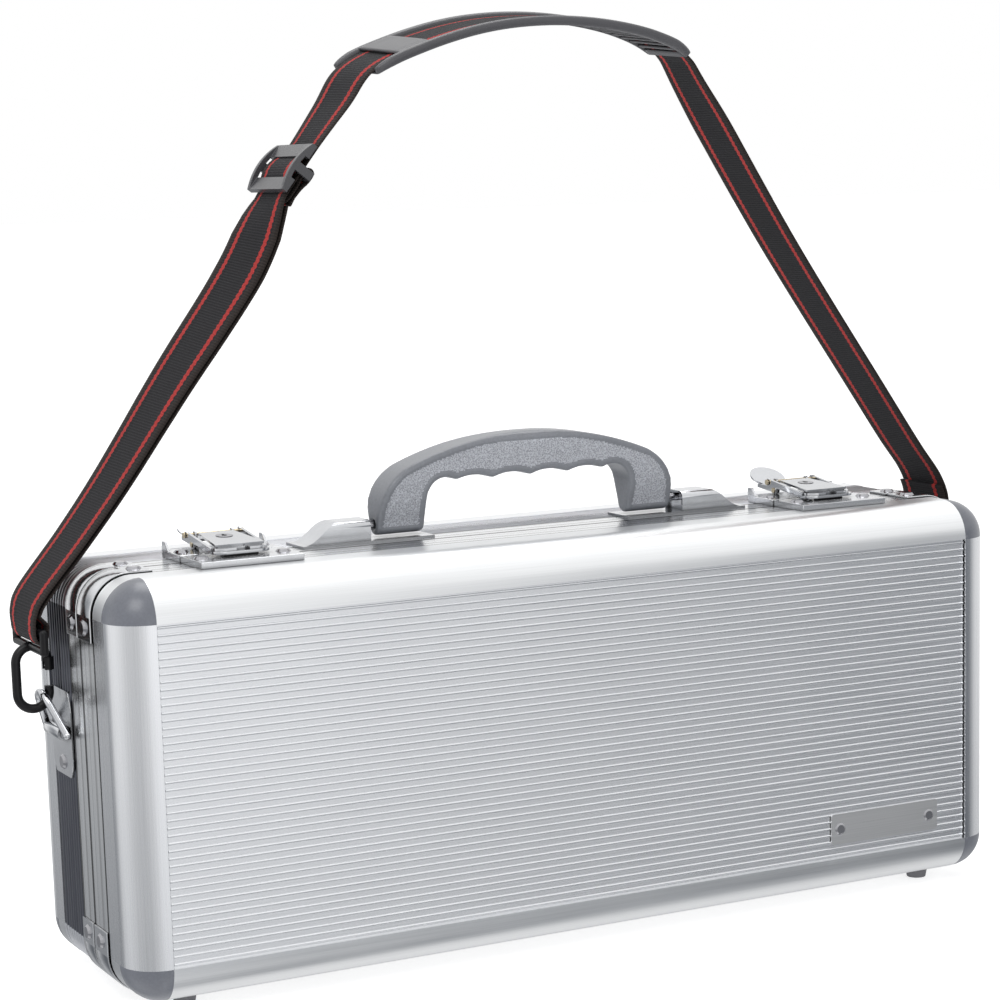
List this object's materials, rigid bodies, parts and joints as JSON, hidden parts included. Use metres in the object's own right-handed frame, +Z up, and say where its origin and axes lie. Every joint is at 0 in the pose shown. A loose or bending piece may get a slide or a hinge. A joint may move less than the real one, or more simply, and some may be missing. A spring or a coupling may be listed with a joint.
{
  "type": "aluminum case",
  "caption": "Ribbed aluminum carry case with rounded edge trims, hinged lid, key draw latches, folding grip handle and a padded shoulder strap on snap hooks.",
  "frame": {"origin": "centre of the case's footprint, at the underside of its feet", "axes": "+X along the case's length to its right, +Y to the back panel, +Z up; the hinged lid faces -Y"},
  "size_m": [0.4766, 0.12, 0.4098],
  "materials": {
    "panel": "satin, ribbed",
    "trim": "satin extruded",
    "rail": "bright",
    "fitting": "polished plating",
    "rivet": "bright",
    "pin": "plated",
    "cap": "speckled grey",
    "grip": "speckled grey",
    "foot": "matt",
    "lining": "formed tray with a short flocked nap",
    "plate": "bare, brushed",
    "webbing": "woven, with stripes",
    "pad": "moulded, matt",
    "hook": "black",
    "slider": "moulded black"
  },
  "bodies": {
    "shell": {"back_panel": "panel", "top_panel": "panel", "bottom_panel": "panel", "left_panel": "panel", "right_panel": "panel", "rear_trims_long": "trim", "rear_trims_short": "trim", "rear_corner_caps": "cap", "body_rails_long": "rail", "body_rails_short": "rail", "body_corner_brackets": "rail", "body_lining": "lining", "body_feet": "foot", "body_hinge_leaves": "fitting", "hinge_pins": "rivet", "handle_bracket_left": "fitting", "handle_bracket_right": "fitting", "handle_pins": "rivet", "latch_base_left": "fitting", "latch_base_right": "fitting", "latch_pivot_pins": "pin", "ring_bracket_left": "fitting", "ring_bracket_right": "fitting", "body_rivets": "rivet"},
    "lid": {"front_panel": "panel", "front_trims_long": "trim", "front_trims_short": "trim", "front_corner_caps": "cap", "lid_rails_long": "rail", "lid_rails_short": "rail", "lid_corner_brackets": "rail", "lid_lining": "lining", "lid_feet": "foot", "lid_hinge_leaves": "fitting", "catch_left": "fitting", "catch_right": "fitting", "nameplate": "plate", "lid_rivets": "rivet"},
    "handle": {"handle_grip": "grip"},
    "lever_left": {"latch_lever_left": "fitting", "bail_pin_left": "pin"},
    "lever_right": {"latch_lever_right": "fitting", "bail_pin_right": "pin"},
    "bail_left": {"latch_bail_left": "fitting"},
    "bail_right": {"latch_bail_right": "fitting"},
    "lock_left": {"lock_cylinder_left": "fitting"},
    "lock_right": {"lock_cylinder_right": "fitting"},
    "ring_left": {"ring_left": "fitting"},
    "ring_right": {"ring_right": "fitting"},
    "strap": {"strap_webbing": "webbing", "strap_left_fold": "webbing", "strap_right_fold": "webbing", "shoulder_pad": "pad", "snap_hook_left": "hook", "snap_hook_right": "hook"},
    "gate_left": {"hook_gate_left": "fitting"},
    "gate_right": {"hook_gate_right": "fitting"},
    "slider": {"strap_slider": "slider", "slider_loop": "webbing"}
  },
  "joints": [
    {"name": "lid_hinge", "type": "hinge", "parent": "shell", "child": "lid", "pos_m": [0, -0.011, 0.0031], "axis": [1, 0, 0], "range_deg": [0, 100]},
    {"name": "handle_fold", "type": "hinge", "parent": "shell", "child": "handle", "pos_m": [0, 0.004, 0.1896], "axis": [1, 0, 0], "range_deg": [-74, 74]},
    {"name": "latch_lever_left_pivot", "type": "hinge", "parent": "shell", "child": "lever_left", "pos_m": [-0.148, 0.008, 0.1876], "axis": [1, 0, 0], "range_deg": [0, 85]},
    {"name": "latch_bail_left_pivot", "type": "hinge", "parent": "lever_left", "child": "bail_left", "pos_m": [-0.148, 0.00921, 0.19162], "axis": [1, 0, 0], "range_deg": [-93.5, 0]},
    {"name": "lock_left_turn", "type": "hinge", "parent": "bail_left", "child": "lock_left", "pos_m": [-0.148, -0.00364, 0.19072], "axis": [0, -0.068, 0.9977], "range_deg": [0, 90]},
    {"name": "ring_left_pivot", "type": "hinge", "parent": "shell", "child": "ring_left", "pos_m": [-0.2199, 0.018, 0.1115], "axis": [0, -1, 0], "range_deg": [0, 15]},
    {"name": "latch_lever_right_pivot", "type": "hinge", "parent": "shell", "child": "lever_right", "pos_m": [0.148, 0.008, 0.1876], "axis": [1, 0, 0], "range_deg": [0, 85]},
    {"name": "latch_bail_right_pivot", "type": "hinge", "parent": "lever_right", "child": "bail_right", "pos_m": [0.148, 0.00921, 0.19162], "axis": [1, 0, 0], "range_deg": [-93.5, 0]},
    {"name": "lock_right_turn", "type": "hinge", "parent": "bail_right", "child": "lock_right", "pos_m": [0.148, -0.00364, 0.19072], "axis": [0, -0.068, 0.9977], "range_deg": [0, 90]},
    {"name": "ring_right_pivot", "type": "hinge", "parent": "shell", "child": "ring_right", "pos_m": [0.2199, 0.018, 0.1115], "axis": [0, 1, 0], "range_deg": [0, 15]},
    {"name": "strap_swing", "type": "hinge", "parent": "shell", "child": "strap", "pos_m": [0, 0.018, 0.12115], "axis": [1, 0, 0], "range_deg": [-10, 10]},
    {"name": "hook_gate_left_pivot", "type": "hinge", "parent": "strap", "child": "gate_left", "pos_m": [-0.22228, 0.018, 0.14005], "axis": [0, 1, 0], "range_deg": [0, 25], "stiffness_Nm_per_rad": 0.01, "springref_deg": -5.73},
    {"name": "hook_gate_right_pivot", "type": "hinge", "parent": "strap", "child": "gate_right", "pos_m": [0.22228, 0.018, 0.14005], "axis": [0, -1, 0], "range_deg": [0, 25], "stiffness_Nm_per_rad": 0.01, "springref_deg": -5.73},
    {"name": "strap_slider_slide", "type": "slide", "parent": "strap", "child": "slider", "axis": [0.6248, 0, 0.7808], "range_m": [0, 0.012]}
  ],
  "couplings": [
    {"joint": "latch_bail_left_pivot", "follows": "latch_lever_left_pivot", "ratio": -1.1},
    {"joint": "latch_bail_right_pivot", "follows": "latch_lever_right_pivot", "ratio": -1.1}
  ]
}
